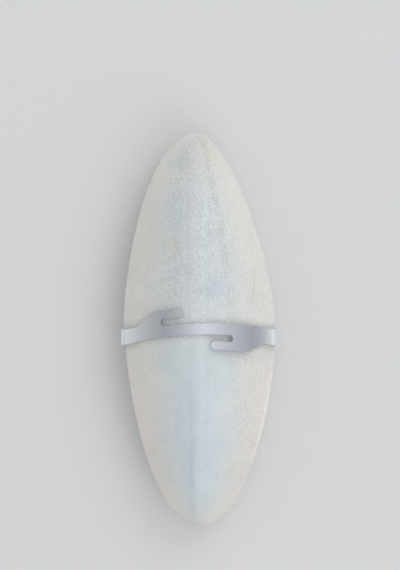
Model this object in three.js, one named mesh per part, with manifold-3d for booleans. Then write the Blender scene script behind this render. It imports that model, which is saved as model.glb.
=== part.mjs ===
// A cuttlebone, the chalky inner shell of a cuttlefish, in the bent sheet-steel clip that hangs it on
// the wires of a bird cage.
//
// Units are millimetres and +Z is up. The bone lies on its soft underside, which is rubbed flat where it
// rests, with its hard back up, its length along Y and its growing end towards +Y. The clip is a bowed
// strip that crosses the back, hooks round both thin edges and ends in two claws on the underside.
import * as THREE from "three";
import { mergeVertices } from "three/addons/utils/BufferGeometryUtils.js";
import Module from "manifold-3d";

const wasm = await Module();
wasm.setup();

// ---- Driving dimensions of the bone

const LENGTH = 145.3;
const WIDTH = 56.4;
const CREST = 19.1; // top of the back above the table
const EDGE = 0.7; // thickness of the bare rim of the hard back
const RIM = 10.5; // middle of the rim above the table, half way along
const RIM_DROP = { fore: 2, aft: 1 }; // how far the rim sinks towards each tip

// Each side of the outline is two cubic curves, from its widest point to the fore and to the aft tip.
// The shares say how far the side runs straight on from that point, and how broad the tip stays.
const TIPS = { fore: { x: -1.1, y: LENGTH / 2 }, aft: { x: 1.4, y: -LENGTH / 2 } };
const SIDES = {
  left: { x: -WIDTH / 2, y: 2.4, fore: { straight: 0.27, broad: 0.7 }, aft: { straight: 0.1, broad: 0.82 } },
  right: { x: WIDTH / 2, y: -0.2, fore: { straight: 0.31, broad: 0.43 }, aft: { straight: 0.38, broad: 0.6 } },
};

// The back is a low tent with nearly flat flanks, rounded along a rib that a furrow bounds on each side.
const BACK = { flankPower: 1.3, ridgeRound: 0.12, length: { power: 2.4, blunt: 0.8 } };
const RIB = { x: -1, aftHalfWidth: 2.2, foreHalfWidth: 4.2 };
const FURROW = { depth: 0.12, width: 1.1 };

// The underside is a broad hump of chalk inside a bare ledge, with a groove along its aft half.
const HUMP = {
  peakY: 4,
  rubbedAway: 0.5, // how far the hump would reach below the table if it were not rubbed flat
  sideLedge: 2,
  foreLedge: 2.5,
  aftLedge: 7,
  across: { power: 2.4, blunt: 0.9 },
  fore: { power: 2.6, blunt: 0.8 },
  aft: { power: 1.9, blunt: 1 },
};
const GROOVE = { halfWidth: 3, foreDepth: 0.25, aftDepth: 0.9 };

const ROWS = 46; // rings along the length
const ACROSS = 28; // facets across the back, and as many across the underside

// ---- Driving dimensions of the clip

const SHEET = 0.5; // thickness of the steel
const CLIP_Y = 0.15; // where the middle of the strip crosses the bone
const BOW = { drop: 3.2, span: 28 }; // the strip's centre line has dropped this far at this distance
const BAND = { radius: 45, topX: 0.5, insideTop: CREST + 0.38, halfWidth: 2, endHalfWidth: 3 };
const SLOT = { near: 1.75, far: 4.4, endRound: 1.3 }; // its two sides' distances from the centre line
const FINGER = { outer: 7.4, tipRound: 1.45, shoulderRound: 3.4 };

// The two hands are cut alike, turned half round, but not quite equal. X is given from the middle.
const HANDS = [
  { side: -1, fingertip: 5.9, slotEnd: 14.1, shoulder: 16.9, wrist: { x: 23.2, halfWidth: 2.6 } },
  { side: 1, fingertip: 4.2, slotEnd: 12.2, shoulder: 17.6, wrist: { x: 23.2, halfWidth: 3.3 } },
];
const WRIST_ROUND = 3.5;

// Past its crease each arm hollows, by "sag" below a straight line, and comes out level at its hook.
const ARMS = [
  { side: -1, crease: 13.5, sag: 0.6 },
  { side: 1, crease: 21, sag: 0.35 },
];
// Each hook is two tight bends over each other, with an upright between them. Turns are in degrees.
const HOOK = { x: WIDTH / 2 - 0.4, topZ: RIM + 1, bottomZ: RIM - 0.5, radius: 0.8, startTurn: 85, endTurn: -54 };
const CLAW = { tipX: 19.4, tipY: -1.9, tipHalfWidth: 1.8, tipRound: 1.6 }; // tipY undoes the bow
const BEYOND = WIDTH / 2 + 5; // outside every hook, where the cutters end
const SQUARE = 0.1; // radius of a corner that is left as good as square

// ---- Small tools

const clamp01 = (value) => Math.min(1, Math.max(0, value));
const smooth = (value) => clamp01(value) ** 2 * (3 - 2 * clamp01(value));
const dome = (share, { power, blunt }) => (1 - clamp01(Math.abs(share)) ** power) ** blunt;
const onCircle = (center, radius, turn) =>
  new THREE.Vector2(center.x + radius * Math.cos(turn), center.y + radius * Math.sin(turn));

/** A geometry from flat lists of coordinates and of corners. */
function closedGeometry(coordinates, corners) {
  const geometry = new THREE.BufferGeometry();
  geometry.setAttribute("position", new THREE.Float32BufferAttribute(coordinates, 3));
  geometry.setIndex(new THREE.Uint32BufferAttribute(corners, 1));
  geometry.computeVertexNormals();
  return geometry;
}

/** A closed geometry as a solid that can be joined and cut. */
function solid(geometry) {
  const bare = geometry.clone();
  bare.deleteAttribute("normal");
  bare.deleteAttribute("uv");
  const merged = mergeVertices(bare, 1e-4);
  const vertProperties = new Float32Array(merged.attributes.position.array);
  const triVerts = new Uint32Array(merged.index.array);
  return new wasm.Manifold(new wasm.Mesh({ numProp: 3, vertProperties, triVerts }));
}

/** The surface of a solid as three.js geometry. */
function surfaceOf(made) {
  const mesh = made.getMesh();
  return closedGeometry(mesh.vertProperties, mesh.triVerts);
}

// ---- The bone

/** X of one side's edge at y, found on that side's curve by halving. */
function edgeX(side, y) {
  const end = y > side.y ? "fore" : "aft";
  const tip = TIPS[end];
  const curve = new THREE.CubicBezierCurve(
    new THREE.Vector2(side.x, side.y),
    new THREE.Vector2(side.x, THREE.MathUtils.lerp(side.y, tip.y, side[end].straight)),
    new THREE.Vector2(THREE.MathUtils.lerp(tip.x, side.x, side[end].broad), tip.y),
    new THREE.Vector2(tip.x, tip.y),
  );
  let low = 0;
  let high = 1;
  while (high - low > 1e-9) {
    const middle = (low + high) / 2;
    if (Math.abs(curve.getPoint(middle).y - side.y) < Math.abs(y - side.y)) low = middle;
    else high = middle;
  }
  return curve.getPoint(low).x;
}

/** Height of the middle of the rim at y. */
function rimZ(y) {
  const share = y / (LENGTH / 2);
  return RIM - (y > 0 ? RIM_DROP.fore : RIM_DROP.aft) * share * share;
}

/** How far a flank has fallen, from 0 on the ridge to 1 at the edge, at a share of the way out. */
function flankFall(share) {
  const half = BACK.flankPower / 2;
  const round = BACK.ridgeRound ** 2;
  const blunted = (square) => (square + round) ** half - round ** half;
  return blunted(share * share) / blunted(1);
}

/** Height of the back at a point of the row at y, whose edges are at left and right. */
function backZ(x, y, left, right) {
  const ridge = THREE.MathUtils.clamp(RIB.x, left, right);
  const edge = x < ridge ? left : right;
  const along = dome(y / (LENGTH / 2), BACK.length);
  const rise = (CREST - RIM - EDGE / 2) * along * (1 - flankFall((x - ridge) / (edge - ridge)));
  const ribHalfWidth = THREE.MathUtils.lerp(RIB.aftHalfWidth, RIB.foreHalfWidth, y / LENGTH + 0.5);
  const beside = (Math.abs(x - ridge) - ribHalfWidth) / FURROW.width;
  const furrow = FURROW.depth * along * Math.exp(-beside * beside);
  return rimZ(y) + EDGE / 2 + Math.max(0, rise - furrow);
}

/** Share of the hump's full depth that is left at y. */
function humpAlong(y) {
  const fore = y > HUMP.peakY;
  const end = fore ? LENGTH / 2 - HUMP.foreLedge : HUMP.aftLedge - LENGTH / 2;
  return dome((y - HUMP.peakY) / (end - HUMP.peakY), fore ? HUMP.fore : HUMP.aft);
}

/** Height of the underside at a distance from its middle line, which is a share of the hump's reach. */
function undersideZ(distance, share, y) {
  const along = humpAlong(y) * dome(share, HUMP.across);
  const hump = (RIM - EDGE / 2 + HUMP.rubbedAway) * along;
  const grooveDepth = THREE.MathUtils.lerp(GROOVE.foreDepth, GROOVE.aftDepth, smooth((-2 * y) / LENGTH));
  const groove = grooveDepth * along * Math.exp(-((distance / GROOVE.halfWidth) ** 2));
  return Math.max(0, rimZ(y) - EDGE / 2 - hump + groove);
}

/** One ring of the bone: over the back from right to left, then under the hump to the right again. */
function boneRing(y) {
  const left = edgeX(SIDES.left, y);
  const right = edgeX(SIDES.right, y);
  const middle = (left + right) / 2;
  const half = (right - left) / 2;
  const humpHalf = Math.max(half - HUMP.sideLedge, half * 0.3);
  const ring = [];
  for (let i = 0; i <= ACROSS; i++) {
    const x = middle + half * Math.cos((Math.PI * i) / ACROSS);
    ring.push([x, y, backZ(x, y, left, right)]);
  }
  ring.push([left, y, rimZ(y) - EDGE / 2]);
  for (let i = 0; i <= ACROSS; i++) {
    const share = -Math.cos((Math.PI * i) / ACROSS);
    ring.push([middle + humpHalf * share, y, undersideZ(humpHalf * share, share, y)]);
  }
  ring.push([right, y, rimZ(y) - EDGE / 2]);
  return ring;
}

/** The bone's closed surface: rings joined along the length, drawn together in a point at each tip. */
function boneGeometry() {
  const rings = [];
  for (let i = 1; i <= ROWS; i++) {
    const turn = Math.PI * (i / (ROWS + 1) - 0.5);
    rings.push(boneRing((LENGTH / 2) * Math.sin(turn)));
  }
  const count = rings[0].length;
  const lastRing = (ROWS - 1) * count;
  const aftTip = ROWS * count;
  const foreTip = aftTip + 1;
  const tipPoints = [TIPS.aft, TIPS.fore].map((tip) => [tip.x, tip.y, rimZ(tip.y)]);
  const corners = [];
  for (let j = 0; j < count; j++) {
    const next = (j + 1) % count;
    corners.push(aftTip, j, next, foreTip, lastRing + next, lastRing + j);
    for (let here = 0; here < lastRing; here += count) {
      const there = here + count;
      corners.push(here + j, there + j, here + next);
      corners.push(here + next, there + j, there + next);
    }
  }
  return closedGeometry([...rings.flat(), ...tipPoints].flat(), corners);
}

// ---- The clip

/** Inside height of the band's curve at x. */
const bandZ = (x) => BAND.insideTop - BAND.radius + Math.sqrt(BAND.radius ** 2 - (x - BAND.topX) ** 2);

/** Inside of one arm, hook and claw, from beside the crease outwards and round to past the claw's tip. */
function armPoints({ side, crease, sag }) {
  const upperBend = new THREE.Vector2(HOOK.x, HOOK.topZ);
  const lowerBend = new THREE.Vector2(HOOK.x, HOOK.bottomZ);
  const startTurn = THREE.MathUtils.degToRad(HOOK.startTurn);
  const endTurn = THREE.MathUtils.degToRad(HOOK.endTurn);
  const top = new THREE.Vector2(crease, bandZ(side * crease));
  const end = onCircle(upperBend, HOOK.radius, startTurn);
  const points = [];
  const armSteps = 5;
  for (let i = 1; i < armSteps; i++) {
    const share = i / armSteps;
    const point = top.clone().lerp(end, share);
    point.y -= 4 * sag * share * (1 - share);
    points.push(point);
  }
  const bendSteps = 4;
  for (let i = 0; i <= bendSteps; i++) {
    points.push(onCircle(upperBend, HOOK.radius, THREE.MathUtils.lerp(startTurn, 0, i / bendSteps)));
  }
  for (let i = 0; i <= bendSteps; i++) {
    points.push(onCircle(lowerBend, HOOK.radius, THREE.MathUtils.lerp(0, endTurn, i / bendSteps)));
  }
  const bottom = points.at(-1);
  const reach = bottom.x - CLAW.tipX + SHEET;
  points.push(new THREE.Vector2(bottom.x - reach, bottom.y + reach / Math.tan(endTurn)));
  return points.map((point) => new THREE.Vector2(side * point.x, point.y));
}

/** Inside of the whole clip in the X-Z plane, from the left claw over the band to the right claw. */
function clipInside() {
  const [left, right] = ARMS;
  const band = [];
  const bandSteps = 9;
  for (let i = 0; i <= bandSteps; i++) {
    const x = THREE.MathUtils.lerp(-left.crease, right.crease, i / bandSteps);
    band.push(new THREE.Vector2(x, bandZ(x)));
  }
  return [...armPoints(left).reverse(), ...band, ...armPoints(right)];
}

/** A sheet of steel whose inside follows the given points, wide enough to cut the whole clip from. */
function bentSheet(inside) {
  const last = inside.length - 1;
  const outside = inside.map((point, i) => {
    const arriving = inside[Math.max(1, i)].clone().sub(inside[Math.max(0, i - 1)]).normalize();
    const leaving = inside[Math.min(last, i + 1)].clone().sub(inside[Math.min(last - 1, i)]).normalize();
    const normal = new THREE.Vector2(-arriving.y - leaving.y, arriving.x + leaving.x).normalize();
    const mitre = SHEET / (leaving.x * normal.y - leaving.y * normal.x);
    return point.clone().addScaledVector(normal, mitre);
  });
  const width = 40;
  const shape = new THREE.Shape([...inside, ...outside.reverse()]);
  const geometry = new THREE.ExtrudeGeometry(shape, { depth: width, bevelEnabled: false });
  geometry.rotateX(Math.PI / 2);
  geometry.translate(0, width / 2, 0);
  return solid(geometry);
}

/** An outline through corners [x, y, radius], each corner rounded by its radius. */
function roundedShape(corners) {
  const shape = new THREE.Shape();
  corners.forEach(([x, y, radius], i) => {
    const corner = new THREE.Vector2(x, y);
    const [beforeX, beforeY] = corners.at(i - 1);
    const [afterX, afterY] = corners[(i + 1) % corners.length];
    const before = new THREE.Vector2(beforeX, beforeY).sub(corner).normalize();
    const after = new THREE.Vector2(afterX, afterY).sub(corner).normalize();
    const halfAngle = Math.acos(before.dot(after)) / 2;
    const inwards = before.clone().add(after).normalize();
    const center = corner.clone().addScaledVector(inwards, radius / Math.sin(halfAngle));
    const start = corner.clone().addScaledVector(before, radius / Math.tan(halfAngle)).sub(center);
    const end = corner.clone().addScaledVector(after, radius / Math.tan(halfAngle)).sub(center);
    const clockwise = before.cross(after) > 0;
    shape.absarc(center.x, center.y, radius, start.angle(), end.angle(), clockwise);
  });
  return shape;
}

/** A cutter that stands between two heights on an outline, bowed as the strip is. */
function bowedCutter(corners, low, high) {
  const arcSteps = 6;
  const longest = 3;
  const rough = roundedShape(corners).getPoints(arcSteps);
  const fine = rough.flatMap((point, i) => {
    const next = rough[(i + 1) % rough.length];
    const steps = Math.max(1, Math.ceil(point.distanceTo(next) / longest));
    return Array.from({ length: steps }, (_, k) => point.clone().lerp(next, k / steps));
  });
  const bowed = fine.map((p) => new THREE.Vector2(p.x, CLIP_Y + p.y - BOW.drop * (p.x / BOW.span) ** 2));
  const options = { depth: high - low, bevelEnabled: false };
  const geometry = new THREE.ExtrudeGeometry(new THREE.Shape(bowed), options);
  geometry.translate(0, 0, low);
  return solid(geometry);
}

/** Corners of one hand, before bowing: the arm's end, the finger, the slot, then on to the other end. */
function handCorners({ side, fingertip, slotEnd, shoulder, wrist }) {
  const corners = [
    [BEYOND, BAND.endHalfWidth, SQUARE],
    [wrist.x, wrist.halfWidth, WRIST_ROUND],
    [shoulder, FINGER.outer, FINGER.shoulderRound],
    [fingertip, FINGER.outer, FINGER.tipRound],
    [fingertip, SLOT.far, FINGER.tipRound],
    [slotEnd, SLOT.far, SLOT.endRound],
    [slotEnd, SLOT.near, SLOT.endRound],
    [0, BAND.halfWidth, 1],
    [-BEYOND, BAND.endHalfWidth, SQUARE],
  ];
  return corners.map(([x, y, radius]) => [side * x, -side * y, radius]);
}

/** Corners of one claw, before bowing. */
function clawCorners({ side }) {
  const corners = [
    [BEYOND, -BAND.endHalfWidth, SQUARE],
    [BEYOND, BAND.endHalfWidth, SQUARE],
    [HOOK.x, BAND.endHalfWidth, 1],
    [CLAW.tipX, CLAW.tipY + CLAW.tipHalfWidth, CLAW.tipRound],
    [CLAW.tipX, CLAW.tipY - CLAW.tipHalfWidth, CLAW.tipRound],
    [HOOK.x, -BAND.endHalfWidth, 1],
  ];
  return corners.map(([x, y, radius]) => [side * x, y, radius]);
}

/** The whole clip: one bent sheet, cut to the outline of the strip above the rim and of the claws below. */
function clipGeometry() {
  const top = BAND.insideTop + 2 * SHEET;
  const strip = bowedCutter(HANDS.flatMap(handCorners), RIM, top);
  const cutter = HANDS.reduce((cut, hand) => cut.add(bowedCutter(clawCorners(hand), 0, RIM)), strip);
  return surfaceOf(bentSheet(clipInside()).intersect(cutter));
}

// ---- The assembly

const chalk = new THREE.MeshStandardMaterial({ color: 0xcfd1cf, roughness: 0.85, metalness: 0 });
const steel = new THREE.MeshStandardMaterial({ color: 0xb4b8bf, roughness: 0.35, metalness: 1 });

function namedMesh(name, geometry, material) {
  const mesh = new THREE.Mesh(geometry, material);
  mesh.name = name;
  return mesh;
}

const part = new THREE.Group();
part.add(namedMesh("cuttlebone", boneGeometry(), chalk));
part.add(namedMesh("clip", clipGeometry(), steel));

export default part;
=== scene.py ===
"""A cuttlebone held in the bent sheet-steel clip that hangs it on the wires of a bird cage.

It lies on its soft underside with its granular back up, its growing (fore) end towards +Y. The clip
crosses the back, hooks round both thin edges and ends in two claws underneath. Lengths are in metres.
"""

import math

import bmesh
import bpy
import numpy as np
from mathutils import Matrix, Vector


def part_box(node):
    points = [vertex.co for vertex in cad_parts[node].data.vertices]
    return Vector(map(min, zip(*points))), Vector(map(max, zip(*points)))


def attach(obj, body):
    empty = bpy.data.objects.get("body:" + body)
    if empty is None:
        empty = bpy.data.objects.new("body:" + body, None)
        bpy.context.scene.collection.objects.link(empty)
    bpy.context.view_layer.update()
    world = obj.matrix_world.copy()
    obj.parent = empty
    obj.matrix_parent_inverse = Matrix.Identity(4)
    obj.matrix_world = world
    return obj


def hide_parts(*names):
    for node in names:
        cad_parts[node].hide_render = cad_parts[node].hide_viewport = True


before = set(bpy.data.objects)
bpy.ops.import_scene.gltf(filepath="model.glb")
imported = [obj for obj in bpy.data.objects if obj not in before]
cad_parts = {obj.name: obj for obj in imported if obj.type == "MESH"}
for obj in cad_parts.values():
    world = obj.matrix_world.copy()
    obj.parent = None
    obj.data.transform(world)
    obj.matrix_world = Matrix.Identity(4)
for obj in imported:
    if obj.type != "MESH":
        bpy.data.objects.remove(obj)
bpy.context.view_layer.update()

# ==== The bone
# The chalky inner shell of a cuttlefish: a thin, hard, granular back over a thick pad of fine chalk
# leaves, with a bare rim all round. It is a natural thing, dried, and rubbed flat where it rests.

bone_low, bone_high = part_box("cuttlebone")
half_length = bone_high.y
crest_height = bone_high.z
rim_height = 0.0105
rim_round = 0.00035
rim_sinks_fore = 0.002
rim_sinks_aft = 0.001
ridge_x = -0.001

fore_tip = (-0.0011, half_length)
aft_tip = (0.0014, -half_length)
left_side = {"widest": (bone_low.x, 0.0024), "fore": (0.27, 0.70), "aft": (0.10, 0.82)}
right_side = {"widest": (bone_high.x, -0.0002), "fore": (0.31, 0.43), "aft": (0.38, 0.60)}


def smooth(value):
    """From 0 to 1 with soft ends, as value goes from 0 to 1."""
    held = np.clip(value, 0, 1)
    return held * held * (3 - 2 * held)


def dome(share, power, blunt):
    """From 1 in the middle to 0 at a share of 1 or -1."""
    return (1 - np.clip(np.abs(share), 0, 1) ** power) ** blunt


def bell(distance, width):
    """A soft bump, 1 in its middle."""
    return np.exp(-((distance / width) ** 2))


def side_edge(side, y):
    """X of one side of the outline at each y, on two cubic curves that part at its widest point."""
    widest_x, widest_y = side["widest"]
    x = np.empty_like(y)
    for end, tip, here in (
        ("fore", fore_tip, y > widest_y),
        ("aft", aft_tip, y <= widest_y),
    ):
        straight, broad = side[end]
        way = (y[here] - widest_y) / (tip[1] - widest_y)
        low = np.zeros_like(way)
        high = np.ones_like(way)
        for _ in range(40):
            t = (low + high) / 2
            reached = 3 * (1 - t) ** 2 * t * straight + 3 * (1 - t) * t**2 + t**3
            low = np.where(reached < way, t, low)
            high = np.where(reached < way, high, t)
        shoulder_x = tip[0] + (widest_x - tip[0]) * broad
        x[here] = (
            ((1 - t) ** 3 + 3 * (1 - t) ** 2 * t) * widest_x
            + 3 * (1 - t) * t**2 * shoulder_x
            + t**3 * tip[0]
        )
    return x


def rim_middle(y):
    """Height of the middle of the rim, which sinks a little towards each tip."""
    return rim_height - np.where(y > 0, rim_sinks_fore, rim_sinks_aft) * (y / half_length) ** 2


def back_height(x, y, left, right, thick):
    """Height of the back: a low tent with a rounded rib along it and a furrow on each side."""
    flank_power = 1.3
    ridge_round = 0.12
    furrow_depth = 0.00012
    furrow_width = 0.0011
    ridge = np.clip(ridge_x, left, right)
    edge = np.where(x < ridge, left, right)
    share = np.abs(x - ridge) / np.maximum(np.abs(edge - ridge), 1e-9)
    rounding = ridge_round**2
    fallen = (share**2 + rounding) ** (flank_power / 2) - rounding ** (flank_power / 2)
    fallen = fallen / ((1 + rounding) ** (flank_power / 2) - rounding ** (flank_power / 2))
    along = dome(y / half_length, 2.4, 0.8)
    rib_half_width = 0.0032 + 0.001 * y / half_length
    furrow = furrow_depth * bell(np.abs(x - ridge) - rib_half_width, furrow_width)
    rise = (crest_height - rim_height - rim_round) * (1 - fallen) - furrow
    return rim_middle(y) + thick + np.maximum(0, rise * along)


def underside_height(distance, share, y, thick):
    """Height of the pad of chalk under the bone, with a shallow groove along its aft half."""
    pad_peak_y = 0.004
    fore_end = half_length - 0.0025
    aft_end = 0.007 - half_length
    rubbed_away = 0.0005
    fore = dome((y - pad_peak_y) / (fore_end - pad_peak_y), 2.6, 0.8)
    aft = dome((y - pad_peak_y) / (aft_end - pad_peak_y), 1.9, 1)
    depth = np.where(y > pad_peak_y, fore, aft) * dome(share, 2.4, 0.9)
    groove_depth = 0.00025 + 0.00065 * smooth(-y / half_length)
    groove = groove_depth * depth * bell(distance, 0.003)
    pad = (rim_height - rim_round + rubbed_away) * depth
    return np.maximum(0, rim_middle(y) - thick - pad + groove)


ring_count = 432
back_columns = 158
rim_columns = 5
ledge_columns = 3
pad_columns = 46
side_ledge = 0.002

step = np.linspace(-1, 1, ring_count + 2)[1:-1]
ring_y = half_length * (0.74 * step + 0.26 * np.sin(step * math.pi / 2))
left = side_edge(left_side, ring_y)[:, None]
right = side_edge(right_side, ring_y)[:, None]
y = ring_y[:, None]
middle = (left + right) / 2
half = (right - left) / 2
into_tip = np.clip((np.abs(y) - half_length + rim_round) / rim_round, 0, 1)
thick = rim_round * np.sqrt(1 - into_tip**2)
inset = np.minimum(thick, half * 0.4)

across = np.linspace(1, -1, back_columns + 1)[None, :]
across = 0.8 * across + 0.2 * np.sin(across * math.pi / 2)
back_x = middle + (half - inset) * across
back_z = back_height(back_x, y, left + inset, right - inset, thick)
turn = np.linspace(math.pi / 2, -math.pi / 2, rim_columns + 2)[None, 1:-1]
left_rim_x = left + inset - inset * np.cos(turn)
right_rim_x = right - inset + inset * np.cos(turn[:, ::-1])
left_rim_z = rim_middle(y) + thick * np.sin(turn)
right_rim_z = rim_middle(y) + thick * np.sin(turn[:, ::-1])
pad_half = np.maximum(half - side_ledge, half * 0.3)
ledge_share = np.linspace(0, 1, ledge_columns + 1)[None, :-1]
left_ledge_x = left + inset + (middle - pad_half - left - inset) * ledge_share
right_ledge_x = right - inset + (middle + pad_half - right + inset) * ledge_share[:, ::-1]
ledge_z = np.broadcast_to(rim_middle(y) - thick, left_ledge_x.shape)
pad_share = -np.cos(np.linspace(0, math.pi, pad_columns + 1))[None, :]
pad_x = middle + pad_half * pad_share
pad_z = underside_height(pad_half * pad_share, pad_share, y, thick)

bone_x = np.hstack([back_x, left_rim_x, left_ledge_x, pad_x, right_ledge_x, right_rim_x])
bone_z = np.hstack([back_z, left_rim_z, ledge_z, pad_z, ledge_z, right_rim_z])
bone_y = np.broadcast_to(y, bone_x.shape)
ring_size = bone_x.shape[1]

# How far each point lies from the ridge towards the edge, and where the pad and the rim are.
column = np.arange(ring_size)[None, :]
is_back = column <= back_columns
pad_start = back_columns + 1 + rim_columns
is_pad = (column >= pad_start) & (column <= pad_start + 2 * ledge_columns + pad_columns)
is_rim = ~is_back & ~is_pad
margin_x = np.where(bone_x < ridge_x, left, right)
outward = np.where(is_back, np.clip((bone_x - ridge_x) / (margin_x - ridge_x), 0, 1), 1.0)
chalk = np.broadcast_to(np.where(is_pad, 1.0, 0.0), bone_x.shape)
rim = np.broadcast_to(np.where(is_rim, 1.0, 0.0), bone_x.shape)

# The way the grain of the back runs: over the fore half it arches from one margin to the other, and
# over the aft half it follows the length. It is kept as the cosine and sine of twice its angle.
to_right = (bone_x - middle) / half
left_way = np.arctan2(1.0, np.gradient(left[:, 0], ring_y))[:, None]
right_way = np.arctan2(1.0, np.gradient(right[:, 0], ring_y))[:, None]
arch_low = math.radians(8)
arch_high = math.radians(27)


def towards(first, second, share):
    """A direction, as the cosine and sine of twice its angle, part of the way from one to another."""
    return [(1 - share) * a + share * b for a, b in zip(first, second)]


def grain_way(angle, strength):
    """A direction with its strength: 0 where the grain runs no particular way, up to 1."""
    return [strength * np.cos(2 * angle), strength * np.sin(2 * angle)]


arch = towards(grain_way(left_way, 0.8), grain_way(arch_low, 0.9), smooth((to_right + 0.85) / 0.25))
arch = towards(arch, grain_way(arch_high, 0.9), smooth((to_right + 0.35) / 0.2))
arch = towards(arch, grain_way(right_way, 0.95), smooth((to_right - 0.3) / 0.25))
lengthwise = math.radians(85)
plain_left = smooth((to_right + 0.9) / 0.5)
plain = towards(grain_way(left_way, 0.6), grain_way(lengthwise, 0.35), plain_left)
plain = towards(plain, grain_way(right_way, 0.6), smooth((to_right - 0.4) / 0.5))
way = towards(plain, arch, smooth((bone_y + 0.004) / 0.014))
# The grain is boldest along the middle of the fore half, and fainter behind the clip.
coarse_fore = 1 - 0.6 * smooth((outward - 0.3) / 0.4) * np.where(bone_x < 0, 1.0, 0.85)
coarse_aft = 0.30 + 0.32 * smooth((bone_x - 0.008) / 0.01)
coarse = coarse_aft + (coarse_fore - coarse_aft) * smooth((bone_y + 0.012) / 0.03)

aft_point = ring_count * ring_size
fore_point = aft_point + 1
points = np.stack([bone_x, bone_y, bone_z], axis=-1).reshape(-1, 3).tolist()
points.append([aft_tip[0], aft_tip[1], float(rim_middle(np.float64(aft_tip[1])))])
points.append([fore_tip[0], fore_tip[1], float(rim_middle(np.float64(fore_tip[1])))])
here = np.arange(aft_point).reshape(ring_count, ring_size)
beside = np.roll(here, -1, axis=1)
quads = np.stack([here[:-1], here[1:], beside[1:], beside[:-1]], axis=-1).reshape(-1, 4).tolist()
aft_fan = [(aft_point, a, b) for a, b in zip(here[0].tolist(), beside[0].tolist())]
fore_fan = [(fore_point, b, a) for a, b in zip(here[-1].tolist(), beside[-1].tolist())]
plain_mesh = bpy.data.meshes.new("cuttlebone_plain")
plain_mesh.from_pydata(points, [], quads + aft_fan + fore_fan)
plain_mesh.shade_smooth()


def keep_on_points(mesh, name, values, at_tips):
    """Stores one number for each point of the rings, and one for both tips, under a name."""
    stored = mesh.attributes.new(name, "FLOAT", "POINT")
    both_tips = [at_tips, at_tips]
    stored.data.foreach_set("value", np.append(values.ravel(), both_tips).astype(np.float32))


keep_on_points(plain_mesh, "outward", outward, 1)
keep_on_points(plain_mesh, "chalk", chalk, 0)
keep_on_points(plain_mesh, "rim", rim, 1)
keep_on_points(plain_mesh, "way_cos", way[0] * is_back, 0)
keep_on_points(plain_mesh, "way_sin", way[1] * is_back, 0)
keep_on_points(plain_mesh, "coarse", coarse, 0.5)


class Wire:
    """A socket of a node tree. Sums on it add Math nodes, and new() adds any other node."""

    def __init__(self, tree, socket=None):
        self.tree = tree
        self.socket = socket

    def new(self, kind, settings=None, inputs=None, output=0):
        """Adds a node: its settings first, then the values or wires of its inputs."""
        node = self.tree.nodes.new(kind)
        for name, value in (settings or {}).items():
            setattr(node, name, value)
        for name, value in (inputs or {}).items():
            if isinstance(value, Wire):
                self.tree.links.new(value.socket, node.inputs[name])
            else:
                node.inputs[name].default_value = value
        return Wire(self.tree, node.outputs[output] if node.outputs else None)

    def output(self, name):
        """Another output of the node that this wire comes from."""
        return Wire(self.tree, self.socket.node.outputs[name])

    def parts(self):
        """The X, Y and Z of a place or a direction."""
        apart = self.new("ShaderNodeSeparateXYZ", None, {0: self})
        return [apart.output(axis) for axis in "XYZ"]

    def math(self, operation, *others):
        """A Math node on this value and then the others."""
        terms = dict(enumerate([self, *others]))
        return self.new("ShaderNodeMath", {"operation": operation}, terms)

    def __add__(self, other):
        return self.math("ADD", other)

    def __radd__(self, other):
        return self.math("ADD", other)

    def __sub__(self, other):
        return self.math("SUBTRACT", other)

    def __rsub__(self, other):
        return self.math("MULTIPLY_ADD", -1.0, other)

    def __mul__(self, other):
        return self.math("MULTIPLY", other)

    def __rmul__(self, other):
        return self.math("MULTIPLY", other)

    def __truediv__(self, other):
        return self.math("DIVIDE", other)

    def __neg__(self):
        return self.math("MULTIPLY", -1.0)

    def __abs__(self):
        return self.math("ABSOLUTE")

    def __pow__(self, power):
        return self.math("POWER", power)

    def above_zero(self):
        return self.math("MAXIMUM", 0.0)

    def rise(self, start, end):
        """From 0 to 1 with soft ends, as this value goes from start to end."""
        inputs = {"Value": self, "From Min": start, "From Max": end}
        return self.new("ShaderNodeMapRange", {"interpolation_type": "SMOOTHSTEP"}, inputs)

    def bell(self, middle, width):
        """A soft bump round a middle value."""
        share = (self - middle) / width
        return (-(share * share)).math("EXPONENT")

    def mix(self, first, second):
        """A colour from first to second, as this value goes from 0 to 1."""
        settings = {"data_type": "RGBA", "clamp_factor": True}
        return self.new("ShaderNodeMix", settings, {0: self, 6: first, 7: second}, 2)

    def as_bump(self):
        """A shading normal from this height in metres."""
        return self.new("ShaderNodeBump", None, {"Strength": 1.0, "Distance": 1.0, "Height": self})

    def noise(self, y, z, detail=2.0, rough=0.5):
        """Soft noise round 0 at the point (self, y, z), all in lengths of the pattern."""
        place = self.new("ShaderNodeCombineXYZ", None, {0: self, 1: y, 2: z})
        inputs = {"Vector": place, "Scale": 1.0, "Detail": detail, "Roughness": rough}
        return self.new("ShaderNodeTexNoise", None, inputs) - 0.5


def granules(noise):
    """Turns soft noise round 0 into round-backed winding ridges with narrow gaps between them."""
    winding = 19.0
    height = 0.45
    return (noise * winding).math("COSINE") * height


def grain_noise(x, y, z, way_cos, way_sin, size, stretch, detail):
    """Granules of the back: noise that is drawn out along the way that the grain runs."""
    even = 1 - (way_cos * way_cos + way_sin * way_sin)
    total = even * granules((x / size).noise(y / size, z / size, detail))
    apart_by = 0.37
    for way_part, angle in (
        (way_cos, 0),
        (way_sin, 45),
        (-way_cos, 90),
        (-way_sin, 135),
    ):
        turned = math.radians(angle)
        along = (x * math.cos(turned) + y * math.sin(turned)) / (size * stretch)
        over = (y * math.cos(turned) - x * math.sin(turned)) / size
        share = way_part.above_zero()
        drawn_out = along.noise(over, z / size + angle * apart_by, detail)
        total = total + share * share * granules(drawn_out)
    return total


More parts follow.
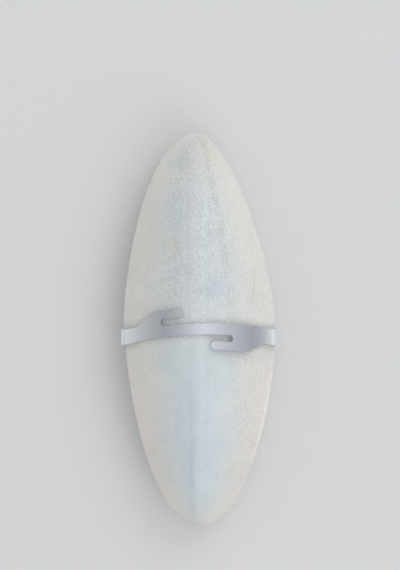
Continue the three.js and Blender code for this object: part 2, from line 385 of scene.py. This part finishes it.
def worm_lines(x, y, z, size):
    """Thin winding lines, 1 on a line and 0 beside it, where a slow noise passes its middle."""
    winding = (x / size).noise(y / size, z / size, 1.0)
    return 1 - abs(winding).rise(0.0, 0.035)


def worm_patch(x, y):
    """Where the winding lines show, on the aft right flank."""
    return x.bell(0.0195, 0.006) * y.bell(-0.022, 0.015)


relief = bpy.data.node_groups.new("cuttlebone_relief", "GeometryNodeTree")
relief_inputs = {
    "Grain height": 0.00012,
    "Grain size": 0.0020,
    "Grain stretch": 1.7,
    "Swell height": 0.00018,
    "Swell size": 0.009,
    "Worm height": 0.00006,
    "Leaf height": 0.00012,
    "Leaf spacing": 0.0014,
    "Rim wear": 0.00026,
}
relief.interface.new_socket("Geometry", in_out="INPUT", socket_type="NodeSocketGeometry")
for name in relief_inputs:
    relief.interface.new_socket(name, in_out="INPUT", socket_type="NodeSocketFloat")
relief.interface.new_socket("Material", in_out="INPUT", socket_type="NodeSocketMaterial")
relief.interface.new_socket("Geometry", in_out="OUTPUT", socket_type="NodeSocketGeometry")

entry = Wire(relief).new("NodeGroupInput")
grain_size = entry.output("Grain size")
x, y, z = entry.new("GeometryNodeInputPosition").parts()


def kept(name):
    """A number that is stored on the points of the mesh, inside the geometry tree."""
    return entry.new("GeometryNodeInputNamedAttribute", {"data_type": "FLOAT"}, {"Name": name})


# The relief fades out just above the table, and is gentler on the rim where the clip's hooks pass.
on_chalk = kept("chalk")
on_rim = kept("rim")
fade_height = 0.001
off_table = (z / fade_height).math("MINIMUM", 1.0)
off_clip = 1 - 0.75 * y.bell(-0.001, 0.009) * on_rim
grain_stretch = entry.output("Grain stretch")
grain = grain_noise(x, y, z, kept("way_cos"), kept("way_sin"), grain_size, grain_stretch, 1.0)
swell_size = entry.output("Swell size")
swell = (x / swell_size).noise(y / (swell_size * 1.6), z / swell_size, 1.0)
worms = worm_lines(x, y, z, 0.0016) * worm_patch(x, y)
back_lift = (
    grain * entry.output("Grain height") * kept("coarse")
    + swell * entry.output("Swell height") * 0.5
    + worms * entry.output("Worm height")
)
leaf_spacing = entry.output("Leaf spacing")
leaf_waver = (x / 0.006).noise(y / 0.006, z / 0.006, 1.0) * 0.0012
leaf_arch = y + x * x * 14.0 + leaf_waver
leaves = (leaf_arch / leaf_spacing * (2 * math.pi)).math("SINE")
leaf_zone = 1 - y.rise(0.004, 0.022)
crumbs = (x / 0.002).noise(y / 0.002, z / 0.002) * 0.00008
chalk_lift = leaves * entry.output("Leaf height") * leaf_zone * 0.5 + crumbs
wear = (x / 0.0022).noise(y / 0.0022, z / 0.0022)
rim_lift = wear * entry.output("Rim wear") * off_clip
lift = back_lift * (1 - on_chalk) * (1 - on_rim) + chalk_lift * on_chalk + rim_lift * on_rim
normal = entry.new("GeometryNodeInputNormal")
outwards = {0: normal, "Scale": lift * off_table}
offset = normal.new("ShaderNodeVectorMath", {"operation": "SCALE"}, outwards)
moved = entry.new("GeometryNodeSetPosition", None, {"Geometry": entry, "Offset": offset})
whole = entry.new("GeometryNodeRealizeInstances", None, {"Geometry": moved})
coated = entry.new(
    "GeometryNodeSetMaterial", None, {"Geometry": whole, "Material": entry.output("Material")}
)
entry.new("NodeGroupOutput", None, {"Geometry": coated})


def linear(red, green, blue):
    """A colour for a shader from its sRGB levels, each from 0 to 255."""
    levels = [level / 255 for level in (red, green, blue)]
    return [*(c / 12.92 if c < 0.04045 else ((c + 0.055) / 1.055) ** 2.4 for c in levels), 1.0]


def new_material(name, uniform):
    """A material with its shader's even values set; gives the material, its shader and a wire."""
    material = bpy.data.materials.new(name)
    material.use_nodes = True
    tree = material.node_tree
    shader = next(node for node in tree.nodes if node.type == "BSDF_PRINCIPLED")
    for socket, value in uniform.items():
        shader.inputs[socket].default_value = value
    return material, shader, Wire(tree)


def plug(wire, shader, socket):
    wire.tree.links.new(wire.socket, shader.inputs[socket])


bone_material, bone_shader, wire = new_material("cuttlebone_aragonite", {"Specular IOR Level": 0.35})
x, y, z = wire.new("ShaderNodeTexCoord").output("Object").parts()


def stored(name):
    """A number that is stored on the mesh, inside the material that is being made."""
    return wire.new("ShaderNodeAttribute", {"attribute_name": name}).output("Fac")


wander = (x / 0.009).noise(y / 0.012, z / 0.009)
patchy = (x / 0.0045).noise(y / 0.006, z / 0.0045, 3.0, 0.6)
fine = (x / 0.0011).noise(y / 0.0011, z / 0.0011, 2.0, 0.6)


def blot(middle_x, middle_y, half_width, half_height):
    """A soft oval mark on the back with a ragged edge, 1 inside and 0 outside."""
    over = (x - middle_x) / half_width
    along = (y - middle_y) / half_height
    away = (over * over + along * along) ** 0.5 + patchy * 0.5
    return 1 - away.rise(0.35, 1.15)


# Bluish grey along the middle, less blue in front and towards both tips, and warmer at the margins.
outward_wire = stored("outward")
warm_margin = (outward_wire + wander * 0.5).rise(0.16, 0.78)
centre = y.rise(-0.02, 0.012).mix(linear(208, 217, 221), linear(211, 217, 218))
centre = (y + wander * 0.012).rise(0.046, 0.066).mix(centre, linear(213, 213, 209))
centre = (wander * 0.012 - y).rise(0.058, 0.074).mix(centre, linear(211, 211, 208))
colour = warm_margin.mix(centre, linear(216, 216, 212))
pink_margin = (outward_wire + patchy * 0.3).rise(0.62, 0.95)
pink_strength = pink_margin * (0.50 - 0.25 * y.rise(-0.03, 0.01))
colour = pink_strength.mix(colour, linear(221, 212, 207))

# Each mark on the back: its middle, its half width and half height, its colour and its strength.
lavender = linear(203, 210, 222)
blue = linear(186, 202, 216)
rust = linear(218, 202, 184)
dark_rust = linear(214, 190, 164)
straw = linear(214, 206, 178)
olive = linear(192, 194, 184)
brown = linear(198, 192, 182)
for middle_x, middle_y, half_width, half_height, tint, strength in (
    (-0.0008, -0.0405, 0.0165, 0.0200, lavender, 0.20),
    (-0.0124, -0.0110, 0.0050, 0.0056, blue, 0.22),
    (0.0058, 0.0155, 0.0060, 0.0056, blue, 0.35),
    (-0.0073, 0.0618, 0.0048, 0.0048, blue, 0.25),
    (-0.0088, 0.0432, 0.0040, 0.0090, blue, 0.25),
    (-0.0088, 0.0308, 0.0032, 0.0052, rust, 0.20),
    (-0.0093, 0.0316, 0.0012, 0.0022, dark_rust, 0.20),
    (0.0050, 0.0646, 0.0026, 0.0026, straw, 0.20),
    (0.0000, 0.0692, 0.0050, 0.0032, olive, 0.18),
    (0.0046, -0.0161, 0.0030, 0.0030, brown, 0.16),
):
    inside = blot(middle_x, middle_y, half_width, half_height)
    colour = (inside * strength).mix(colour, tint)

# Painted shade along the rib's left furrow in the aft half, a faint brown scratch on the fore right
# flank, the winding lines, the paler rib, painted light across the clip's shadow, and a painted
# highlight along the margin on the aft right.
# Painted shade along the rib's left furrow in the aft half.
median = (x + wander * 0.0012).bell(-0.0031, 0.0015) * y.bell(-0.049, 0.015)
colour = (median * 0.16).mix(colour, linear(170, 178, 190))
up_scratch = y - 0.016
scratch_x = 0.0202 + up_scratch * 0.1 - up_scratch * up_scratch * 14.0
scratch = (x - scratch_x).bell(0.0, 0.0003) * y.bell(0.0158, 0.0050)
colour = (scratch * 0.30).mix(colour, linear(190, 170, 146))
worms = worm_lines(x, y, z, 0.0016) * worm_patch(x, y)
colour = (worms * 0.30).mix(colour, linear(236, 236, 232))
paler_rib = x.bell(-0.0018, 0.0022) * y.rise(0.0, 0.02)
colour = (paler_rib * 0.20).mix(colour, linear(232, 236, 238))
# Painted light: the back is painted paler across the clip's band, to lift the clip's shadow there.
painted_light_over_clip_shadow = x.bell(0.002, 0.018) * y.bell(0.0005, 0.0065)
colour = (painted_light_over_clip_shadow * 0.45).mix(colour, linear(238, 240, 240))
# Painted highlight along the margin on the aft right.
painted_highlight_edge = outward_wire.rise(0.93, 0.985) * x.rise(0.005, 0.012) * y.bell(-0.030, 0.018)
colour = (painted_highlight_edge * 0.55).mix(colour, linear(238, 236, 233))

# The gaps between the granules are painted a little darker than their backs, as painted shade in their
# hollows, and no patch is quite even.
fine_grain = grain_noise(x, y, z, stored("way_cos"), stored("way_sin"), 0.0012, 1.8, 2.0)
fine_grain = fine_grain * stored("coarse")
slow = (wander * 0.9 + patchy * 0.7).rise(-0.35, 0.35)
# Painted shade: the aft end is painted a little darker, where its back slopes away from the light.
painted_shade_aft_end = (-y).rise(0.030, 0.055) * 0.03
unevenness = 1.008 - painted_shade_aft_end + slow * 0.05 + fine * 0.06 + fine_grain * 0.12
shade = colour.new("ShaderNodeVectorMath", {"operation": "SCALE"}, {0: colour, "Scale": unevenness})

# The chalk leaves of the underside are whiter, in fine bands.
bands = (x / 0.004).noise(y / 0.0014, z / 0.0014) + 0.5
chalk_colour = bands.mix(linear(226, 222, 212), linear(240, 238, 231))
on_chalk = stored("chalk")
plug(on_chalk.mix(shade, chalk_colour), bone_shader, "Base Color")
plug(0.72 + patchy * 0.2 + on_chalk * 0.1, bone_shader, "Roughness")

pores = (x / 0.00022).noise(y / 0.00022, z / 0.00022)
bumpy = fine_grain * 0.00026 + pores * 0.00005
plug(bumpy.as_bump(), bone_shader, "Normal")

carrier = bpy.data.objects.new("cuttlebone_carrier", plain_mesh)
bpy.context.scene.collection.objects.link(carrier)
modifier = carrier.modifiers.new("relief", "NODES")
modifier.node_group = relief
for item in relief.interface.items_tree:
    if item.in_out == "INPUT" and item.name in relief_inputs:
        modifier[item.identifier] = relief_inputs[item.name]
    if item.in_out == "INPUT" and item.name == "Material":
        modifier[item.identifier] = bone_material


def finished_mesh(thing, name):
    """The plain mesh that an object's modifiers make of it; the object itself is removed."""
    bpy.context.view_layer.update()
    shown = thing.evaluated_get(bpy.context.evaluated_depsgraph_get())
    mesh = bpy.data.meshes.new_from_object(shown)
    mesh.name = name
    bpy.data.objects.remove(thing)
    return mesh


bone = bpy.data.objects.new("chalk_bone", finished_mesh(carrier, "chalk_bone"))
bpy.context.scene.collection.objects.link(bone)
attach(bone, "root")
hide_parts("cuttlebone")

# ==== The clip
# One piece of satin sheet steel, half a millimetre thick, stamped to shape and bent: a bowed band over
# the back, two slotted fingers that grip cage wires, and at each end a hook and a claw under the rim.

clip_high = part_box("clip")[1]
sheet = 0.0005
band_middle_y = 0.00015
bow_drop = 0.0032
bow_span = 0.028
band_radius = 0.045
band_top_x = 0.0005
band_top_z = clip_high.z - sheet
hook_x = bone_high.x - 0.0004
upper_bend_z = rim_height + 0.001
lower_bend_z = rim_height - 0.0005
bend_radius = 0.0008
bend_turns = (math.radians(85), math.radians(-54))
claw_tip_x = 0.0194
claw_tip_y = -0.0019
claw_tip_half = 0.0018
end_half = 0.003


def band_inside(x):
    """Height of the band's underside at x."""
    return band_top_z - band_radius + math.sqrt(band_radius**2 - (x - band_top_x) ** 2)


def arm_line(side, crease, sag):
    """Inside of one arm, hook and claw in the upright plane, from the crease to the claw's tip."""
    start_turn, end_turn = bend_turns
    top = Vector((crease, band_inside(side * crease)))
    outwards = Vector((math.cos(start_turn), math.sin(start_turn)))
    end = Vector((hook_x, upper_bend_z)) + bend_radius * outwards
    line = []
    for share in np.linspace(0, 1, 25)[:-1]:
        point = top.lerp(end, share)
        line.append((point.x, point.y - 4 * sag * share * (1 - share)))
    for bend_z, turns in (
        (upper_bend_z, np.linspace(start_turn, 0, 9)),
        (lower_bend_z, np.linspace(0, end_turn, 7)),
    ):
        for turn in turns:
            point_x = hook_x + bend_radius * math.cos(turn)
            line.append((point_x, bend_z + bend_radius * math.sin(turn)))
    under_x, under_z = line[-1]
    reach = under_x - claw_tip_x
    down = reach / math.tan(end_turn)
    for share in np.linspace(0, 1, 17)[1:]:
        line.append((under_x - reach * share, under_z + down * share))
    return [(side * x, z) for x, z in line]


left_crease = 0.0135
right_crease = 0.021
left_arm = arm_line(-1, left_crease, 0.0006)
right_arm = arm_line(1, right_crease, 0.00035)
band_line = [(x, band_inside(x)) for x in np.linspace(-left_crease, right_crease, 60)[1:-1]]
line = np.array(left_arm[::-1] + band_line + right_arm)
# Softened along its length, so that the creases are bends and not folds.
for _ in range(2):
    line[1:-1] = line[1:-1] * 0.5 + (line[:-2] + line[2:]) * 0.25
line_length = np.concatenate([[0], np.cumsum(np.hypot(*np.diff(line, axis=0).T))])
rightmost = int(np.argmax(line[:, 0]))
leftmost = int(np.argmin(line[:, 0]))


def along_strip(x):
    """Length along the sheet at which the strip, above both hooks, passes x."""
    strip = slice(leftmost, rightmost + 1)
    return float(np.interp(x, line[strip, 0], line_length[strip]))


def along_claw(side, x):
    """Length along the sheet at which one claw, below its hook, passes x."""
    if side > 0:
        return float(np.interp(-x, -line[rightmost:, 0], line_length[rightmost:]))
    return float(np.interp(x, line[leftmost::-1, 0], line_length[leftmost::-1]))


def rounded(corners):
    """Points of a closed outline through corners (x, y, radius), each rounded by its radius."""
    outline = []
    for before, corner, after in zip(corners[-1:] + corners, corners, corners[1:] + corners[:1]):
        middle = Vector(corner[:2])
        radius = corner[2]
        back = (Vector(before[:2]) - middle).normalized()
        onward = (Vector(after[:2]) - middle).normalized()
        half_angle = back.angle(onward) / 2
        center = middle + (back + onward).normalized() * (radius / math.sin(half_angle))
        start = middle + back * (radius / math.tan(half_angle)) - center
        end = middle + onward * (radius / math.tan(half_angle)) - center
        swing = start.angle_signed(end)
        for share in np.linspace(0, 1, 9):
            outline.append(tuple(center + Matrix.Rotation(-swing * share, 2) @ start))
    return outline


def bowed(x, y):
    """Y in the finished clip of a point that was drawn on a straight strip."""
    return band_middle_y + y - bow_drop * (x / bow_span) ** 2


# The drawn outlines run a little past the hooks, and are cut off there.
past_hook = hook_x + 0.004
cut_off_round = 0.0001


def hand_corners(side, fingertip, slot_end, shoulder, wrist_half):
    """Corners of one long edge of the strip, from hook to hook, round its hand, finger and slot."""
    finger_outer = 0.0074
    slot_near = 0.00175
    slot_far = 0.0044
    corners = [
        (past_hook, end_half, cut_off_round),
        (0.0232, wrist_half, 0.0035),
        (shoulder, finger_outer, 0.0034),
        (fingertip, finger_outer, 0.00145),
        (fingertip, slot_far, 0.00145),
        (slot_end, slot_far, 0.0013),
        (slot_end, slot_near, 0.0013),
        (0, 0.002, 0.001),
        (-past_hook, end_half, cut_off_round),
    ]
    return [(side * x, -side * y, radius) for x, y, radius in corners]


def hook_and_claw(side):
    """One end of the flat blank, from the strip's upper edge round the claw's tip to its lower edge."""
    claw_root = hook_x + 0.0005
    claw = rounded(
        [
            (past_hook, -end_half, cut_off_round),
            (past_hook, end_half, cut_off_round),
            (hook_x, end_half, 0.001),
            (claw_tip_x, claw_tip_y + claw_tip_half, 0.0016),
            (claw_tip_x, claw_tip_y - claw_tip_half, 0.0016),
            (hook_x, -end_half, 0.001),
        ]
    )
    tip = [(along_claw(side, side * x), bowed(x, y)) for x, y in claw if x < claw_root]
    start = along_strip(side * hook_x)
    end = along_claw(side, side * claw_root)
    upper = []
    lower = []
    for length in np.linspace(start, end, 24)[1:-1]:
        x = float(np.interp(length, line_length, line[:, 0]))
        upper.append((length, bowed(x, end_half)))
        lower.append((length, bowed(x, -end_half)))
    return upper + tip + lower[::-1]


upper_corners = hand_corners(-1, 0.0059, 0.0141, 0.0169, 0.0026)
lower_corners = hand_corners(1, 0.0042, 0.0122, 0.0176, 0.0033)
strip_outline = rounded(upper_corners + lower_corners)
upper_edge = []
lower_edge = []
longest_run = 0.0008
for start, end in zip(strip_outline, strip_outline[1:] + strip_outline[:1]):
    # Long straight runs are divided, so that they follow the bow.
    pieces = max(1, math.ceil(math.dist(start, end) / longest_run))
    for share in np.arange(pieces) / pieces:
        x = start[0] + (end[0] - start[0]) * share
        y = start[1] + (end[1] - start[1]) * share
        edge = upper_edge if y > 0 else lower_edge
        if abs(x) <= hook_x:
            edge.append((along_strip(x), bowed(x, y)))
blank = lower_edge + hook_and_claw(-1)[::-1] + upper_edge + hook_and_claw(1)

# The blank is cut across wherever the line bends, and then bent along it.
blank_mesh = bmesh.new()
corners = [blank_mesh.verts.new((length, y, 0)) for length, y in blank]
blank_mesh.faces.new(corners)
across_sheet = (1, 0, 0)
for length in line_length[1:-1]:
    bmesh.ops.bisect_plane(
        blank_mesh,
        geom=blank_mesh.verts[:] + blank_mesh.edges[:] + blank_mesh.faces[:],
        dist=1e-7,
        plane_co=(length, 0, 0),
        plane_no=across_sheet,
    )
bmesh.ops.remove_doubles(blank_mesh, verts=blank_mesh.verts[:], dist=2e-6)
for vert in blank_mesh.verts:
    length, y, _ = vert.co
    vert.co = (
        float(np.interp(length, line_length, line[:, 0])),
        y,
        float(np.interp(length, line_length, line[:, 1])),
    )
bmesh.ops.recalc_face_normals(blank_mesh, faces=blank_mesh.faces[:])
top_face = max(blank_mesh.faces, key=lambda face: face.calc_center_median().z)
if top_face.normal.z < 0:
    bmesh.ops.reverse_faces(blank_mesh, faces=blank_mesh.faces[:])
clip_mesh = bpy.data.meshes.new("clip_sheet")
blank_mesh.to_mesh(clip_mesh)
blank_mesh.free()
clip_mesh.shade_smooth()
clip_carrier = bpy.data.objects.new("clip_carrier", clip_mesh)
bpy.context.scene.collection.objects.link(clip_carrier)
thickening = clip_carrier.modifiers.new("thickness", "SOLIDIFY")
thickening.thickness = sheet
thickening.offset = 1.0
thickening.use_even_offset = True
edging = clip_carrier.modifiers.new("edges", "BEVEL")
edging.width = 0.00011
edging.segments = 2
edging.limit_method = "ANGLE"
edging.angle_limit = math.radians(50)
edging.harden_normals = True

# Rolled satin, brushed across: painted darker where the sheet is creased on the right, as painted
# shade, and painted brighter towards both hooks, as a painted highlight. The cut edges are painted
# darker, as a painted dark reflection.
steel_material, steel_shader, wire = new_material("clip_satin_steel", {"Metallic": 1.0})
x, y, z = wire.new("ShaderNodeTexCoord").output("Object").parts()
brushed = (x / 0.0004).noise(y / 0.012, z / 0.0004)
broad_brush = (x / 0.0016).noise(y / 0.03, z / 0.0016, 1.0)
smudge = (x / 0.006).noise(y / 0.006, z / 0.006)
# Painted highlight: the steel is painted brighter towards both hooks, for the bright reflection there.
painted_highlight_ends = (abs(x) - 0.007 * x.rise(0.0, 0.02)).rise(0.012, 0.026)
# Painted shade: the steel is painted darker at the right crease, for the dark reflection there.
painted_shade_right_crease = x.bell(0.0205, 0.0032)
steel = (0.5 + brushed * 0.3 + broad_brush * 0.2).mix(linear(200, 204, 212), linear(212, 216, 223))
steel = (painted_shade_right_crease * 0.6).mix(steel, linear(184, 187, 195))
steel = painted_highlight_ends.mix(steel, linear(246, 249, 252))
# Painted dark reflection: the cut edges are painted darker.
steel = stored("cut_edge").mix(steel, linear(132, 134, 140))
plug(steel, steel_shader, "Base Color")
plug(0.27 + brushed * 0.02 + smudge * 0.02, steel_shader, "Roughness")
brush_marks = (brushed + broad_brush * 2.0) * 0.0000003
plug(brush_marks.as_bump(), steel_shader, "Normal")

clip = bpy.data.objects.new("steel_clip", finished_mesh(clip_carrier, "steel_clip"))
clip.data.materials.append(steel_material)
# The cut edges of the sheet face along Y; its rolled faces never do.
is_cut = [float(abs(face.normal.y) > 0.35) for face in clip.data.polygons]
clip.data.attributes.new("cut_edge", "FLOAT", "FACE").data.foreach_set("value", is_cut)
bpy.context.scene.collection.objects.link(clip)
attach(clip, "root")
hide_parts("clip")

# ==== Floor, light and camera
# A plain pale table in a pale room that brightens overhead and on the right, two soft square lights
# on the right, fore and aft, and a long lens that looks straight down from most of a metre.

floor_look = {"Base Color": linear(226, 227, 228), "Roughness": 0.9, "Specular IOR Level": 0.1}
floor_material = new_material("pale_table", floor_look)[0]
floor_mesh = bpy.data.meshes.new("table_top")
reach = 3.0
floor_mesh.from_pydata(
    [(-reach, -reach, 0), (reach, -reach, 0), (reach, reach, 0), (-reach, reach, 0)], [], [(0, 1, 2, 3)]
)
floor_mesh.materials.append(floor_material)
floor = bpy.data.objects.new("table_top", floor_mesh)
bpy.context.scene.collection.objects.link(floor)


def soft_light(name, place, power):
    """A square of soft light that faces the middle of the bone."""
    lamp = bpy.data.lights.new(name, "AREA")
    lamp.shape = "SQUARE"
    lamp.size = 0.6
    lamp.energy = power
    holder = bpy.data.objects.new(name, lamp)
    holder.location = place
    holder.rotation_mode = "QUATERNION"
    away_from_bone = Vector(place) - Vector((0, 0, 0.01))
    holder.rotation_quaternion = away_from_bone.to_track_quat("Z", "Y")
    holder.visible_camera = False
    bpy.context.scene.collection.objects.link(holder)


soft_light("key_fore", (0.54, 0.75, 0.58), 1.0)
soft_light("key_aft", (0.54, -0.75, 0.58), 0.8)

# The room is an even pale grey, brighter overhead, low down, and on the right both fore and aft.
world = bpy.data.worlds.new("room")
world.use_nodes = True
sky = world.node_tree.nodes["Background"]
wire = Wire(world.node_tree)
look = wire.new("ShaderNodeTexCoord").output("Generated")


def facing(way):
    """How squarely the room is seen in one direction, from 0 to 1."""
    settings = {"operation": "DOT_PRODUCT"}
    return look.new("ShaderNodeVectorMath", settings, {0: look, 1: way}).output("Value").above_zero()


above = facing((0.04, 0.0, 0.999))
above_right = facing((0.087, 0.0, 0.996))
beside_fore = facing((0.56, 0.78, 0.28))
beside_aft = facing((0.56, -0.78, 0.28))
sky.inputs["Color"].default_value = (0.98, 0.99, 1.0, 1.0)
overhead = above**60.0 * 0.20 + above_right**9.0 * 0.55
beside = beside_fore**8.0 * 1.55 + beside_aft**8.0 * 1.25
low_down = (1 - above) ** 2.5 * 0.5
even = 0.455
plug(even + overhead + beside + low_down, sky, "Strength")
bpy.context.scene.world = world
bpy.context.scene.view_settings.view_transform = "Standard"

camera_height = 0.9
view_length = 0.212
focus_height = 0.0105
camera_data = bpy.data.cameras.new("camera")
camera_data.sensor_width = 36.0
camera_data.lens = 36.0 * (camera_height - focus_height) / view_length
camera_data.clip_start = 0.01
camera_data.clip_end = 20.0
camera = bpy.data.objects.new("camera", camera_data)
camera.location = (0.0002, 0.0163, camera_height)
bpy.context.scene.collection.objects.link(camera)
bpy.context.scene.camera = camera
